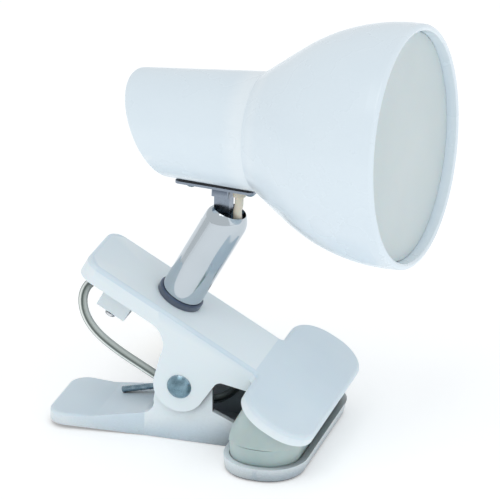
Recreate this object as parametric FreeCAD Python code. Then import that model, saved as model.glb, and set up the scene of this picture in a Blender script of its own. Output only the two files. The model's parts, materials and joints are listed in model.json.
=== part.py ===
"""Clip-on reading lamp: a sprung clip, a chrome swivel post and a tilting LED head.

Units are millimetres. Four frames carry the parts:
  floor  +X towards the jaws, +Y across, +Z up, the pivot pin above x = 0, the lower arm on z = 0
  arm    origin on the pivot pin, its X along the upper arm towards the jaws, its Z square to the arm
  tube   origin on the upper arm's top face under the post, its Z along the post
  head   origin on the tilt bolt, its X along the head towards the light
  bracket  as head, but level with the housing's tapered underside
  light  as head, with its origin on the diffuser's face
The finished lamp is moved so that its origin is the bottom centre of its box without the cord.
"""

import FreeCAD, Part
import math
import os

Vec = FreeCAD.Vector
UP = Vec(0, 0, 1)
ACROSS = Vec(0, 1, 0)
ALONG = Vec(1, 0, 0)
ORIGIN = Vec(0, 0, 0)

# ---- clearances -------------------------------------------------------------------------------
MOVING_GAP = 0.3          # between surfaces of two bodies that pass each other
PIN_CLEARANCE = 0.06      # radial, a pin or bolt in the part that turns on it
SEAT_GAP = 0.1            # a loose part in its seat
CORD_CLEARANCE = 0.05     # radial, a cord or lead in its hole
JOINT_GAP = 0.1           # between two lengths of lead where a joint parts them

# ---- rest position ----------------------------------------------------------------------------
ARM_TILT = 28.8           # degrees the upper arm slopes down towards the closed jaws
SWIVEL_REST = -6.9        # degrees the head is turned about the post
TILT_REST = 31.8          # degrees the head is tipped back from square to the post

# ---- lower arm --------------------------------------------------------------------------------
PIN_HEIGHT = 22.7
LOWER_HALF_WIDTH = 13.5
LOWER_HANDLE_END = -51.8
LOWER_HANDLE_CORNER = 6.8
HANDLE_END_HALF_WIDTH = 17.8
HANDLE_FLAT_LENGTH = 18.5 # level stretch before the top climbs to the ears
HANDLE_FLAT_HEIGHT = 6.0
HANDLE_LIFT = 1.6         # underside of the handle's end above the floor
HANDLE_ROOT_HEIGHT = 9.1
HANDLE_ROOT = -14.6       # where the handle meets the ears
WALL = 2.2
FLOOR_THICKNESS = 2.0
EAR_RADIUS = 9.6
EAR_FRONT = 12.0
EAR_FOOT_HEIGHT = 13.3    # lowest point of the ear's front edge
WALL_FRONT_HEIGHT = 9.4   # side wall where it meets the jaw
JAW_BACK = 21.0
JAW_FRONT = 50.5
LOWER_JAW_HALF_WIDTH = 38.4
JAW_CORNER = 13.4
TRAY_HEIGHT = 5.5
TRAY_WALL = 2.0
TRAY_DRAFT = 1.4          # how far the rim stands out past the tray's foot
PAD_TOP = 12.1

# ---- upper arm, in the arm frame --------------------------------------------------------------
ARM_TOP = 22.8            # top face above the pin
UPPER_HALF_WIDTH = LOWER_HALF_WIDTH + 2.5
UPPER_HANDLE_END = -53.5
UPPER_HANDLE_CORNER = 6.0
TOP_THICKNESS = 2.5
SKIRT_DEPTH = 7.2
UPPER_JAW_BACK = 22.0
UPPER_JAW_FRONT = 51.6
UPPER_JAW_HALF_WIDTH = 41.4
UPPER_JAW_CORNER = 13.5
UPPER_JAW_THICKNESS = 4.5
UPPER_EAR_RADIUS = 10.0
UPPER_EAR_BACK = 12.0
EDGE_ROUND = 1.6
PAD_INSET = 2.2           # upper pad inside the upper jaw's outline
PAD_CORNER = 12.0

# ---- pivot and spring -------------------------------------------------------------------------
RIVET_RADIUS = 2.0
RIVET_HEAD_RADIUS = 4.65
RIVET_HEAD_HEIGHT = 2.4
RIVET_WASHER_RADIUS = 5.0
RIVET_WASHER_THICKNESS = 0.8
SPRING_RADIUS = 6.4       # middle of the wire
SPRING_WIRE_RADIUS = 1.15
SPRING_WIDTH = 8.6
SPRING_START = -4.6       # middle of the first turn, across the clip
SPRING_WHOLE_TURNS = 3
SPRING_TIP_X = -29.3      # free end of the long leg on the lower handle
SPRING_TOP_U = -7.0       # where the short leg presses the upper arm

# ---- cord grip under the upper handle, in the arm frame -----------------------------------------
GRIP_BACK = -42.4
GRIP_LENGTH = 11.9
GRIP_WIDTH = 12.0
GRIP_BOTTOM = 4.8
GRIP_CENTRE_Y = -1.5
GRIP_CORD_HEIGHT = 11.5
GRIP_SCREW_SPACING = 8.0
GRIP_SCREW_RADIUS = 1.2

# ---- post, in the tube frame --------------------------------------------------------------------
POST_U = -18.3            # post along the upper arm, from the pin
TUBE_RADIUS = 8.0
TUBE_WALL = 1.0
BOLT_HEIGHT = 34.5        # tilt bolt
DOME_HEIGHT = 36.3        # centre of the tube's domed end
DOME_OPENING = 6.35
OPENING_LEAN = 10.0       # degrees the opening leans towards the slot
BASE_RING_RADIUS = 8.8
BASE_RING_HEIGHT = 2.5
NIPPLE_RADIUS = 5.0
NIPPLE_BORE = 3.4
NIPPLE_BELOW = 7.2
STEM_WASHER_RADIUS = 8.0
STEM_WASHER_THICKNESS = 1.1
STEM_NUT_FLATS = 14.0
STEM_NUT_HEIGHT = 3.2
INSERT_TOP = 9.0

# ---- tilt joint, in the head frame --------------------------------------------------------------
BOLT_RADIUS = 1.25
BOLT_HEAD_RADIUS = 2.2
BOLT_HEAD_HEIGHT = 1.1
NECK_RADIUS = 3.0
NECK_HALF_THICKNESS = 2.0
HINGE_WASHER = 0.6
CHEEK_THICKNESS = 2.5
SLOT_HALF_WIDTH = 2.6
BLOCK_HALF_LENGTH = 3.4
BLOCK_HALF_WIDTH = 4.0
BLOCK_BOTTOM = 11.9
PLATE_BOTTOM = 15.4
PLATE_THICKNESS = 0.9
GASKET_THICKNESS = 0.4
PLATE_BACK = -17.2
PLATE_LENGTH = 30.8
PLATE_HALF_WIDTH = 6.5
BRACKET_SCREWS = (-11.6, 11.4)
BRACKET_SCREW_Y = -3.0    # screws stand towards the near edge of the plate
SCREW_RADIUS = 1.5
SCREW_HEAD_RADIUS = 2.3
SCREW_HEAD_HEIGHT = 1.6
SPIGOT_RADIUS = 2.6
BUSHING_X = 6.6
BUSHING_Y = -1.4
BUSHING_RADIUS = 2.4
BUSHING_COLLAR = 3.0
BUSHING_WALL = 0.5
LEAD_RADIUS = 1.6
LEAD_X = 5.0              # lead inside the tube, beside the neck

# ---- head, along its axis from the diffuser's face ----------------------------------------------
HEAD_AXIS_HEIGHT = 37.1   # head axis above the tilt bolt
SHADE_RADIUS = 43.8
SHADE_WALL = 2.0
SHADE_ARC_RADIUS = 68.0
SHADE_LENGTH = 54.3       # diffuser face back to the joint with the housing
FACE_FORWARD = SHADE_LENGTH + 17.2           # diffuser face in front of the tilt bolt
SHADE_CONE_LENGTH = 14.7
RIM_DEPTH = 4.0
DIFFUSER_RADIUS = SHADE_RADIUS - 2.8
DIFFUSER_THICKNESS = 2.0
JOINT_RADIUS = 21.8
HOUSING_TAPER = 0.057     # radius lost per millimetre towards the rear
HOUSING_WALL = 2.0
HOUSING_REAR = SHADE_LENGTH + 44.5           # slanted rear end on the axis
HOUSING_SLANT = 0.40      # how far the top stands back per millimetre of height
HOUSING_REAR_ROUND = 2.4
INNER_FLOOR = 20.2        # flat floor inside the housing, above the tilt bolt
BOARD_HEIGHT = 35.0       # underside of the driver board above the tilt bolt
BOARD_BACK = -11.0
BOARD_LENGTH = 28.5
BOARD_HALF_WIDTH = 10.5
BOSS_CIRCLE = 22.0
BOSS_RADIUS = 2.8
SINK_BACK = 32.0
SINK_THICKNESS = 2.4
BOARD_THICKNESS = 1.6
BOARD_RADIUS = 25.0
CHIP_COUNT = 12
CHIP_CIRCLE = 15.0
BOARD_SCREW_RADIUS = 1.0
BOARD_SCREW_LENGTH = 8.0
WIRE_RADIUS = 0.8
LED_WIRES = (-3.2, 3.2)
SWITCH_RADIUS = 6.0
SWITCH_FLANGE = 1.4
SWITCH_DEPTH = 12.0
SWITCH_WELL = 3.4
SWITCH_BUTTON_RADIUS = 4.2
SWITCH_TRAVEL = 2.0

# ---- cord ---------------------------------------------------------------------------------------
CORD_RADIUS = 2.0
COIL_CENTRE = Vec(0, 48, 0)
COIL_MIDDLE_RADIUS = 20.0
COIL_TURNS_ACROSS = 3
COIL_TURNS_HIGH = 2
TIE_ANGLE = 200.0         # where the tie goes round the coil
TIE_WIDTH = 5.0
TIE_THICKNESS = 0.8
CORD_POINTS = [           # floor frame, from the cord grip to the coil
    Vec(-34.2, -1.5, 54.6),
    Vec(-38.2, -4.4, 54.9),
    Vec(-40.2, -7.6, 50.6),
    Vec(-39.0, -9.0, 43.8),
    Vec(-34.4, -9.2, 37.0),
    Vec(-26.0, -9.0, 30.8),
    Vec(-16.5, -8.9, 25.6),
    Vec(-7.0, -9.0, 20.4),
    Vec(3.0, -8.6, 15.6),
    Vec(11.0, -4.6, 13.8),
    Vec(15.4, 2.6, 15.0),
    Vec(16.4, 10.0, 17.0),
    Vec(16.9, 17.0, 15.6),
    Vec(17.0, 22.6, 11.6),
    Vec(13.8, 26.8, 7.0),
    Vec(8.4, 26.6, 3.6),
    Vec(2.6, 25.0, 2.2),
]
PLUG_CORD_POINTS = [      # floor frame, from the plug to the coil
    Vec(0.7, 32.4, 14.8),
    Vec(4.0, 28.0, 14.8),
    Vec(9.0, 25.9, 15.0),
    Vec(14.5, 27.4, 14.4),
    Vec(19.2, 31.5, 12.0),
    Vec(21.0, 36.6, 9.0),
    Vec(21.5, 42.0, 6.2),
]
PLUG_CENTRE = Vec(-9.8, 46.4, 0)
PLUG_ANGLE = 127.0
PLUG_LENGTH = 35.0
PLUG_WIDTH = 25.0
PLUG_THICKNESS = 13.6
PLUG_PIN_RADIUS = 2.0
PLUG_PIN_LENGTH = 19.0
PLUG_PIN_SPACING = 18.6


# ---- shapes -------------------------------------------------------------------------------------
def block(x0, x1, y0, y1, z0, z1):
    """Box between two corners."""
    return Part.makeBox(x1 - x0, y1 - y0, z1 - z0, Vec(x0, y0, z0))


def rod(radius, start, end):
    """Cylinder from one point to another."""
    axis = end - start
    return Part.makeCylinder(radius, axis.Length, start, axis)


def post(radius, z0, z1, x=0.0, y=0.0):
    """Upright cylinder."""
    return Part.makeCylinder(radius, z1 - z0, Vec(x, y, z0))


def washer(outer, inner, z0, z1, x=0.0, y=0.0):
    """Upright ring."""
    return post(outer, z0, z1, x, y).cut(post(inner, z0 - 1, z1 + 1, x, y))


def hex_nut(flats, bore, z0, z1, x=0.0, y=0.0):
    """Upright hexagon nut."""
    corner = flats / math.sqrt(3)
    corners = [Vec(x + corner * math.cos(math.radians(60 * i)),
                   y + corner * math.sin(math.radians(60 * i)), z0) for i in range(6)]
    face = Part.Face(Part.makePolygon(corners + corners[:1]))
    return face.extrude(UP * (z1 - z0)).cut(post(bore, z0 - 1, z1 + 1, x, y))


def rounded_wire(x0, x1, half_width, corner, z):
    """Closed rectangle with four round corners, flat at height z."""
    bend = corner * (1 - math.sqrt(0.5))
    y = half_width
    lines = [
        (Vec(x0 + corner, -y, z), Vec(x1 - corner, -y, z), Vec(x1 - bend, -y + bend, z)),
        (Vec(x1, -y + corner, z), Vec(x1, y - corner, z), Vec(x1 - bend, y - bend, z)),
        (Vec(x1 - corner, y, z), Vec(x0 + corner, y, z), Vec(x0 + bend, y - bend, z)),
        (Vec(x0, y - corner, z), Vec(x0, -y + corner, z), Vec(x0 + bend, -y + bend, z)),
    ]
    edges = []
    for i, (start, end, middle) in enumerate(lines):
        edges.append(Part.LineSegment(start, end).toShape())
        edges.append(Part.Arc(end, middle, lines[(i + 1) % 4][0]).toShape())
    return Part.Wire(edges)


def rounded_slab(x0, x1, half_width, corner, z0, z1):
    """Flat plate with round corners."""
    return Part.Face(rounded_wire(x0, x1, half_width, corner, z0)).extrude(UP * (z1 - z0))


def tapered_slab(foot, head, z0, z1):
    """Plate whose outline, (x0, x1, half width, corner), grows or shrinks from z0 to z1."""
    return Part.makeLoft([rounded_wire(*foot, z0), rounded_wire(*head, z1)], True, True)


def outline(start, *steps):
    """Closed wire in the XZ plane: a step is an (x, z) point, or a (middle, end) pair for an arc."""
    here = Vec(start[0], 0, start[1])
    first = here
    edges = []
    for step in steps + (start,):
        if isinstance(step[0], tuple):
            middle = Vec(step[0][0], 0, step[0][1])
            there = Vec(step[1][0], 0, step[1][1])
            edges.append(Part.Arc(here, middle, there).toShape())
        else:
            there = Vec(step[0], 0, step[1])
            if (there - here).Length < 1e-6:
                continue
            edges.append(Part.LineSegment(here, there).toShape())
        here = there
    return Part.Wire(edges)


def plate_across(wire, y0, y1):
    """Extrude an XZ outline across the clip."""
    face = Part.Face(wire)
    face.translate(Vec(0, y0, 0))
    return face.extrude(Vec(0, y1 - y0, 0))


def both_sides(wire, inner, outer):
    """The same XZ outline as two plates, one on each side of the clip."""
    return plate_across(wire, -outer, -inner), plate_across(wire, inner, outer)


def lathe(wire):
    """Turn an outline (x along the axis, z as radius) about the head's own axis line."""
    turned = Part.Face(wire).revolve(ORIGIN, ALONG, 360)
    return turned


def moved(shape, placement):
    """A copy of a shape in another frame."""
    copy = shape.copy()
    copy.Placement = placement.multiply(copy.Placement)
    return copy


def frame(base, move, axis, angle):
    """A placement inside another one."""
    return base.multiply(FreeCAD.Placement(move, FreeCAD.Rotation(axis, angle)))


def fillet(shape, radius, chosen):
    """Round the edges that the test picks."""
    edges = [edge for edge in shape.Edges if chosen(edge)]
    return shape.makeFillet(radius, edges) if edges else shape


def cord_path(points):
    """Straight runs joined by tangent arcs; each arc is as large as its two runs allow."""
    edges = []
    radii = []
    here = points[0]
    for before, corner, after in zip(points, points[1:], points[2:]):
        back = (before - corner)
        ahead = (after - corner)
        reach = 0.45 * min(back.Length, ahead.Length)
        half_turn = (math.pi - back.getAngle(ahead)) / 2
        radius = reach / math.tan(half_turn)
        back.normalize()
        ahead.normalize()
        entry = corner + back * reach
        leave = corner + ahead * reach
        bisector = (back + ahead).normalize()
        centre = corner + bisector * (radius / math.cos(half_turn))
        middle = centre - bisector * radius
        edges.append(Part.LineSegment(here, entry).toShape())
        edges.append(Part.Arc(entry, middle, leave).toShape())
        radii.append(radius)
        here = leave
    edges.append(Part.LineSegment(here, points[-1]).toShape())
    return Part.Wire(edges), radii


def cord(points, radius, name):
    """Round cord along a route, with its section-times-length check printed."""
    path, radii = cord_path(points)
    direction = points[1] - points[0]
    section = Part.Wire(Part.makeCircle(radius, points[0], direction))
    solid = path.makePipeShell([section], True, False)
    expected = math.pi * radius ** 2 * path.Length
    print(f"{name}: length {path.Length:.1f}, volume ratio {solid.Volume / expected:.4f}, "
          f"radii {[round(r, 1) for r in radii]}")
    return solid


# ---- frames -------------------------------------------------------------------------------------
FLOOR = FreeCAD.Placement()
ARM = frame(FLOOR, Vec(0, 0, PIN_HEIGHT), ACROSS, ARM_TILT)
TUBE = frame(ARM, Vec(POST_U, 0, ARM_TOP), UP, SWIVEL_REST)
HEAD = frame(TUBE, Vec(0, 0, BOLT_HEIGHT), ACROSS, -TILT_REST)
BRACKET = frame(HEAD, ORIGIN, ACROSS, math.degrees(math.atan(HOUSING_TAPER)))
LIGHT = frame(HEAD, Vec(FACE_FORWARD, 0, HEAD_AXIS_HEIGHT), UP, 0)   # origin on the diffuser's face
PARTS = {}


def add(name, shape, placement=FLOOR):
    """Keep a finished part, moved from its own frame to the floor frame."""
    PARTS[name] = moved(shape, placement)


# ---- lower arm ----------------------------------------------------------------------------------
def handle_top(x):
    """Height of the lower handle's upper face."""
    flat = LOWER_HANDLE_END + HANDLE_FLAT_LENGTH
    share = max(0.0, (x - flat) / (HANDLE_ROOT - flat))
    return HANDLE_FLAT_HEIGHT + (HANDLE_ROOT_HEIGHT - HANDLE_FLAT_HEIGHT) * share


def handle_form(inset, drop):
    """Flared handle with a rising underside, smaller by inset all round and lower by drop."""
    end = LOWER_HANDLE_END + inset
    root = HANDLE_ROOT + 2 - inset
    flat = LOWER_HANDLE_END + HANDLE_FLAT_LENGTH
    side = outline((end, HANDLE_LIFT - drop), (end, handle_top(flat) - inset),
                   (flat, handle_top(flat) - inset),
                   (HANDLE_ROOT - inset, handle_top(HANDLE_ROOT - inset) - inset),
                   (root, handle_top(HANDLE_ROOT - inset) - inset), (root, -drop),
                   (HANDLE_ROOT, -drop))
    form = plate_across(side, -HANDLE_END_HALF_WIDTH, HANDLE_END_HALF_WIDTH)
    wide = HANDLE_END_HALF_WIDTH - inset
    narrow = LOWER_HALF_WIDTH - inset
    corners = [Vec(end, -wide, -9), Vec(HANDLE_ROOT, -narrow, -9), Vec(root, -narrow, -9),
               Vec(root, narrow, -9), Vec(HANDLE_ROOT, narrow, -9), Vec(end, wide, -9)]
    plan = Part.Face(Part.makePolygon(corners + corners[:1])).extrude(UP * 40)
    plan = fillet(plan, LOWER_HANDLE_CORNER - inset,
                  lambda e: e.BoundBox.ZLength > 9 and e.BoundBox.XMax < end + 1e-3)
    return form.common(plan)


def lower_handle():
    """Handle with a hollow underside."""
    body = handle_form(0, 0)
    top = handle_top(LOWER_HANDLE_END)
    body = fillet(body, 1.0, lambda e: e.BoundBox.ZMin > top - 1e-3
                  and e.BoundBox.XMax < HANDLE_ROOT - 1 and e.BoundBox.XMin < LOWER_HANDLE_END + 30
                  and not straight_across(e))
    return body.cut(handle_form(WALL, 3.0))


def straight_across(edge):
    """True for a crease that runs right across the handle."""
    box = edge.BoundBox
    return box.XLength < 1e-3 and box.XMin > LOWER_HANDLE_END + 1


def lower_walls():
    """Two side walls with the ears that carry the pin."""
    ear_top = PIN_HEIGHT + EAR_RADIUS
    side = outline((HANDLE_ROOT, 0), (HANDLE_ROOT, HANDLE_ROOT_HEIGHT),
                   ((HANDLE_ROOT + 2.9, 10.9), (HANDLE_ROOT + 3.9, 15.0)),
                   (-EAR_RADIUS, PIN_HEIGHT - 0.5),
                   ((-EAR_RADIUS * 0.7, PIN_HEIGHT + EAR_RADIUS * 0.714), (0, ear_top)),
                   ((EAR_RADIUS * 0.53, PIN_HEIGHT + EAR_RADIUS * 0.848),
                    (EAR_RADIUS * 0.9, PIN_HEIGHT + EAR_RADIUS * 0.436)),
                   (EAR_FRONT, PIN_HEIGHT + 1.8), (EAR_FRONT, EAR_FOOT_HEIGHT),
                   (JAW_BACK, WALL_FRONT_HEIGHT), (JAW_BACK + TRAY_WALL, WALL_FRONT_HEIGHT),
                   (JAW_BACK + TRAY_WALL, 0))
    return both_sides(side, LOWER_HALF_WIDTH - WALL, LOWER_HALF_WIDTH)


def jaw_outline(inset, lift):
    """Lower jaw's outline at a height, smaller by inset."""
    grow = TRAY_DRAFT * lift / TRAY_HEIGHT - inset
    return (JAW_BACK - 0.4 * lift / TRAY_HEIGHT + inset, JAW_FRONT + grow,
            LOWER_JAW_HALF_WIDTH + grow, JAW_CORNER + grow)


def lower_arm():
    """Handle, ears and jaw tray in one moulding."""
    tray = tapered_slab(jaw_outline(0, 0), jaw_outline(0, TRAY_HEIGHT), 0, TRAY_HEIGHT)
    tray = fillet(tray, 0.9, lambda e: abs(e.BoundBox.ZMin) < 1e-4 and abs(e.BoundBox.ZMax) < 1e-4)
    seat = tapered_slab(jaw_outline(TRAY_WALL, 0), jaw_outline(TRAY_WALL, TRAY_HEIGHT),
                        FLOOR_THICKNESS, FLOOR_THICKNESS + TRAY_HEIGHT)
    floor = block(HANDLE_ROOT, JAW_BACK + TRAY_WALL, -LOWER_HALF_WIDTH + WALL,
                  LOWER_HALF_WIDTH - WALL, 0, FLOOR_THICKNESS)
    walls = lower_walls()
    body = lower_handle().fuse([floor, walls[0], walls[1], tray]).cut(seat)
    pin_hole = rod(RIVET_RADIUS, Vec(0, -30, PIN_HEIGHT), Vec(0, 30, PIN_HEIGHT))
    return body.cut(pin_hole).removeSplitter()


def lower_pad():
    """Soft grip that fills the lower jaw's tray."""
    loose = TRAY_WALL + SEAT_GAP
    return tapered_slab(jaw_outline(loose, 0), jaw_outline(loose, PAD_TOP - FLOOR_THICKNESS - 4.0),
                        FLOOR_THICKNESS, PAD_TOP)


# ---- upper arm, in the arm frame ----------------------------------------------------------------
def upper_ears():
    """Ears that hang outside the lower arm's ears."""
    skirt = ARM_TOP - SKIRT_DEPTH
    bend = 9.0
    far = UPPER_EAR_BACK + bend
    slope = math.radians(15)
    back_end = (-UPPER_EAR_RADIUS * math.cos(slope), -UPPER_EAR_RADIUS * math.sin(slope))
    front = UPPER_EAR_RADIUS + 0.7
    side = outline((-far, ARM_TOP - 1), (-far, skirt),
                   ((-far + bend * math.sqrt(0.5), skirt - bend * (1 - math.sqrt(0.5))),
                    (-UPPER_EAR_BACK, skirt - bend)),
                   back_end, ((0, -UPPER_EAR_RADIUS), (UPPER_EAR_RADIUS, 0)),
                   (front, 8.0), ((front + 0.5, 9.7), (front + 1.8, 10.9)),
                   (UPPER_JAW_BACK + 1, 14.4), (UPPER_JAW_BACK + 1, ARM_TOP - 1))
    return both_sides(side, UPPER_HALF_WIDTH - WALL, UPPER_HALF_WIDTH)


def upper_arm():
    """Handle channel, ears and jaw plate in one moulding."""
    skirt = ARM_TOP - SKIRT_DEPTH
    handle = rounded_slab(UPPER_HANDLE_END, UPPER_JAW_BACK + UPPER_HANDLE_CORNER + 1,
                          UPPER_HALF_WIDTH, UPPER_HANDLE_CORNER, skirt, ARM_TOP)
    handle = handle.cut(block(UPPER_JAW_BACK + 1, 60, -50, 50, skirt - 1,
                              ARM_TOP - UPPER_JAW_THICKNESS))
    jaw = rounded_slab(UPPER_JAW_BACK, UPPER_JAW_FRONT, UPPER_JAW_HALF_WIDTH, UPPER_JAW_CORNER,
                       ARM_TOP - UPPER_JAW_THICKNESS, ARM_TOP)
    body = handle.fuse(jaw).removeSplitter()
    body = fillet(body, 2.0, lambda e: abs(e.BoundBox.XMin - UPPER_JAW_BACK) < 1e-3
                  and abs(e.BoundBox.XMax - UPPER_JAW_BACK) < 1e-3
                  and e.BoundBox.YLength < 1e-3 and abs(e.BoundBox.YMin) < UPPER_HALF_WIDTH + 1)
    body = fillet(body, EDGE_ROUND, lambda e: e.BoundBox.ZMin > ARM_TOP - 1e-3)
    channel = rounded_slab(UPPER_HANDLE_END + WALL, UPPER_JAW_BACK - WALL, UPPER_HALF_WIDTH - WALL,
                           UPPER_HANDLE_CORNER - WALL, skirt - 1, ARM_TOP - TOP_THICKNESS)
    body = body.cut(channel)
    ears = upper_ears()
    body = body.fuse([ears[0], ears[1]])
    pin_hole = rod(RIVET_RADIUS + PIN_CLEARANCE, Vec(0, -30, 0), Vec(0, 30, 0))
    stem_hole = post(NIPPLE_RADIUS + PIN_CLEARANCE, 0, 40, POST_U)
    body = body.cut(pin_hole).cut(stem_hole)
    for x, y in grip_screw_places():
        body = body.cut(post(GRIP_SCREW_RADIUS, 0, ARM_TOP - 1, x, y))
    return body.removeSplitter()


def upper_pad():
    """Soft wedge that squares the tilted upper jaw to the lower one."""
    slab = rounded_slab(UPPER_JAW_BACK + PAD_INSET, UPPER_JAW_FRONT - PAD_INSET + 0.8,
                        UPPER_JAW_HALF_WIDTH - PAD_INSET - 1.2, PAD_CORNER, -20,
                        ARM_TOP - UPPER_JAW_THICKNESS)
    slab.Placement = ARM.multiply(slab.Placement)
    rear = JAW_BACK + 3.2
    return slab.common(block(rear, 80, -60, 60, PAD_TOP + MOVING_GAP, 80))


# ---- pivot --------------------------------------------------------------------------------------
def dome(radius, height, base, direction):
    """Low domed head standing on a point."""
    sphere = (radius ** 2 + height ** 2) / (2 * height)
    ball = Part.makeSphere(sphere, base + direction * (height - sphere))
    return ball.common(Part.makeCylinder(radius + 1, height + 1, base, direction))


def pivot_rivet():
    """Rivet with a domed head each side."""
    near = Vec(0, -UPPER_HALF_WIDTH - SEAT_GAP, PIN_HEIGHT)
    far = Vec(0, UPPER_HALF_WIDTH + SEAT_GAP + RIVET_WASHER_THICKNESS, PIN_HEIGHT)
    head = dome(RIVET_HEAD_RADIUS, RIVET_HEAD_HEIGHT, near, -ACROSS)
    tail = dome(RIVET_RADIUS * 1.8, RIVET_HEAD_HEIGHT * 0.7, far, ACROSS)
    return rod(RIVET_RADIUS, near, far).fuse([head, tail]).removeSplitter()


def rivet_washer():
    """Washer under the rivet's tail."""
    start = Vec(0, UPPER_HALF_WIDTH + SEAT_GAP, PIN_HEIGHT)
    end = start + ACROSS * RIVET_WASHER_THICKNESS
    return rod(RIVET_WASHER_RADIUS, start, end).cut(rod(RIVET_RADIUS, start - ACROSS, end + ACROSS))


def tangent_angle(point):
    """Angle and length of the line from the spring's coil to a point, both beside the pin."""
    distance = math.hypot(*point)
    swing = math.acos(SPRING_RADIUS / distance)
    reach = math.sqrt(distance ** 2 - SPRING_RADIUS ** 2)
    return math.atan2(point[1], point[0]), swing, reach


def torsion_spring():
    """Coil round the rivet, one leg on the lower handle and one under the upper arm."""
    press = ARM.multVec(Vec(SPRING_TOP_U, 0, ARM_TOP - TOP_THICKNESS - SPRING_WIRE_RADIUS))
    upper_at, upper_swing, upper_reach = tangent_angle((press.x, press.z - PIN_HEIGHT))
    rest = handle_top(SPRING_TIP_X) + SPRING_WIRE_RADIUS
    lower_at, lower_swing, lower_reach = tangent_angle((SPRING_TIP_X, rest - PIN_HEIGHT))
    start = upper_at - upper_swing
    finish = lower_at + lower_swing
    turn = (start - finish) % (2 * math.pi) + 2 * math.pi * SPRING_WHOLE_TURNS
    pitch = SPRING_WIDTH / turn * 2 * math.pi
    rise = pitch / (2 * math.pi * SPRING_RADIUS)
    helix = Part.makeHelix(pitch, SPRING_WIDTH, SPRING_RADIUS)
    first = Vec(0, 1, rise).normalize()
    last = Vec(-math.sin(turn), math.cos(turn), rise).normalize()
    head = Vec(SPRING_RADIUS, 0, 0)
    tail = Vec(SPRING_RADIUS * math.cos(turn), SPRING_RADIUS * math.sin(turn), SPRING_WIDTH)
    legs = [rod(SPRING_WIRE_RADIUS, head - first * upper_reach, head),
            rod(SPRING_WIRE_RADIUS, tail, tail + last * lower_reach)]
    section = Part.Wire(Part.makeCircle(SPRING_WIRE_RADIUS, head, first))
    coil = Part.Wire(helix).makePipeShell([section], True, True)
    spring = coil.fuse(legs)
    out = Vec(math.cos(start), 0, math.sin(start))
    along = Vec(math.sin(start), 0, -math.cos(start))
    turn_round = FreeCAD.Matrix(out.x, along.x, 0, 0,
                                out.y, along.y, 1, SPRING_START,
                                out.z, along.z, 0, PIN_HEIGHT,
                                0, 0, 0, 1)
    spring.Placement = FreeCAD.Placement(turn_round)
    return spring


# ---- cord grip ----------------------------------------------------------------------------------
def grip_screw_places():
    """Centres of the two cord-grip screws, in the arm frame."""
    middle = GRIP_BACK + GRIP_LENGTH / 2
    return [(middle, GRIP_CENTRE_Y - GRIP_SCREW_SPACING / 2),
            (middle, GRIP_CENTRE_Y + GRIP_SCREW_SPACING / 2)]


def cord_grip():
    """Block that clamps the cord against the upper arm's underside."""
    body = block(GRIP_BACK, GRIP_BACK + GRIP_LENGTH, GRIP_CENTRE_Y - GRIP_WIDTH / 2,
                 GRIP_CENTRE_Y + GRIP_WIDTH / 2, GRIP_BOTTOM, ARM_TOP - TOP_THICKNESS)
    body = fillet(body, 0.6, lambda e: e.BoundBox.ZMax < ARM_TOP - TOP_THICKNESS - 1e-3)
    hole = rod(CORD_RADIUS + CORD_CLEARANCE, Vec(GRIP_BACK - 1, GRIP_CENTRE_Y, GRIP_CORD_HEIGHT),
               Vec(GRIP_BACK + GRIP_LENGTH + 1, GRIP_CENTRE_Y, GRIP_CORD_HEIGHT))
    body = body.cut(hole)
    for x, y in grip_screw_places():
        body = body.cut(post(GRIP_SCREW_RADIUS, 0, 40, x, y))
    return body


def cord_grip_screws():
    """Two pan-head screws up into the upper arm."""
    solids = []
    for x, y in grip_screw_places():
        shank = post(GRIP_SCREW_RADIUS, GRIP_BOTTOM, ARM_TOP - 1, x, y)
        head = post(GRIP_SCREW_RADIUS * 1.8, GRIP_BOTTOM - 1.2, GRIP_BOTTOM, x, y)
        solids.append(shank.fuse(fillet(head, 0.4, lambda e: e.BoundBox.ZMax < GRIP_BOTTOM - 1)))
    return Part.makeCompound([s.removeSplitter() for s in solids])


# ---- post, in the tube frame --------------------------------------------------------------------
def arm_tube():
    """Chromed tube with a domed end, a round opening and a slot for the neck."""
    foot = BASE_RING_HEIGHT + MOVING_GAP
    inner = TUBE_RADIUS - TUBE_WALL
    centre = Vec(0, 0, DOME_HEIGHT)
    outside = post(TUBE_RADIUS, foot, DOME_HEIGHT).fuse(Part.makeSphere(TUBE_RADIUS, centre))
    inside = post(inner, foot - 1, DOME_HEIGHT).fuse(Part.makeSphere(inner, centre))
    body = outside.cut(inside)
    opening = post(DOME_OPENING, 2, 20)
    body = body.cut(moved(opening, frame(FLOOR, centre, ACROSS, -OPENING_LEAN)))
    low = BOLT_HEIGHT - NECK_RADIUS + 0.4
    slot = block(-20, 0, -SLOT_HALF_WIDTH, SLOT_HALF_WIDTH, low, DOME_HEIGHT + 20)
    return body.cut(slot).removeSplitter()


def stem():
    """Hollow threaded stem, its nut, washers and the insert that holds the tube."""
    bottom = -NIPPLE_BELOW
    washer_bottom = -TOP_THICKNESS - STEM_WASHER_THICKNESS
    nut_top = washer_bottom - 0.2
    add("stem_nipple", washer(NIPPLE_RADIUS, NIPPLE_BORE, bottom, INSERT_TOP), TUBE)
    add("stem_nut", hex_nut(STEM_NUT_FLATS, NIPPLE_RADIUS, nut_top - STEM_NUT_HEIGHT, nut_top), TUBE)
    add("stem_washer", washer(STEM_WASHER_RADIUS, NIPPLE_RADIUS + PIN_CLEARANCE, washer_bottom,
                              -TOP_THICKNESS), TUBE)
    add("base_ring", fillet(washer(BASE_RING_RADIUS, NIPPLE_RADIUS + PIN_CLEARANCE, 0,
                                   BASE_RING_HEIGHT), 0.5,
                            lambda e: e.BoundBox.ZMin > 1 and e.BoundBox.XLength > 12), TUBE)
    add("tube_insert", washer(TUBE_RADIUS - TUBE_WALL, NIPPLE_RADIUS, BASE_RING_HEIGHT + MOVING_GAP,
                              INSERT_TOP), TUBE)


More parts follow.
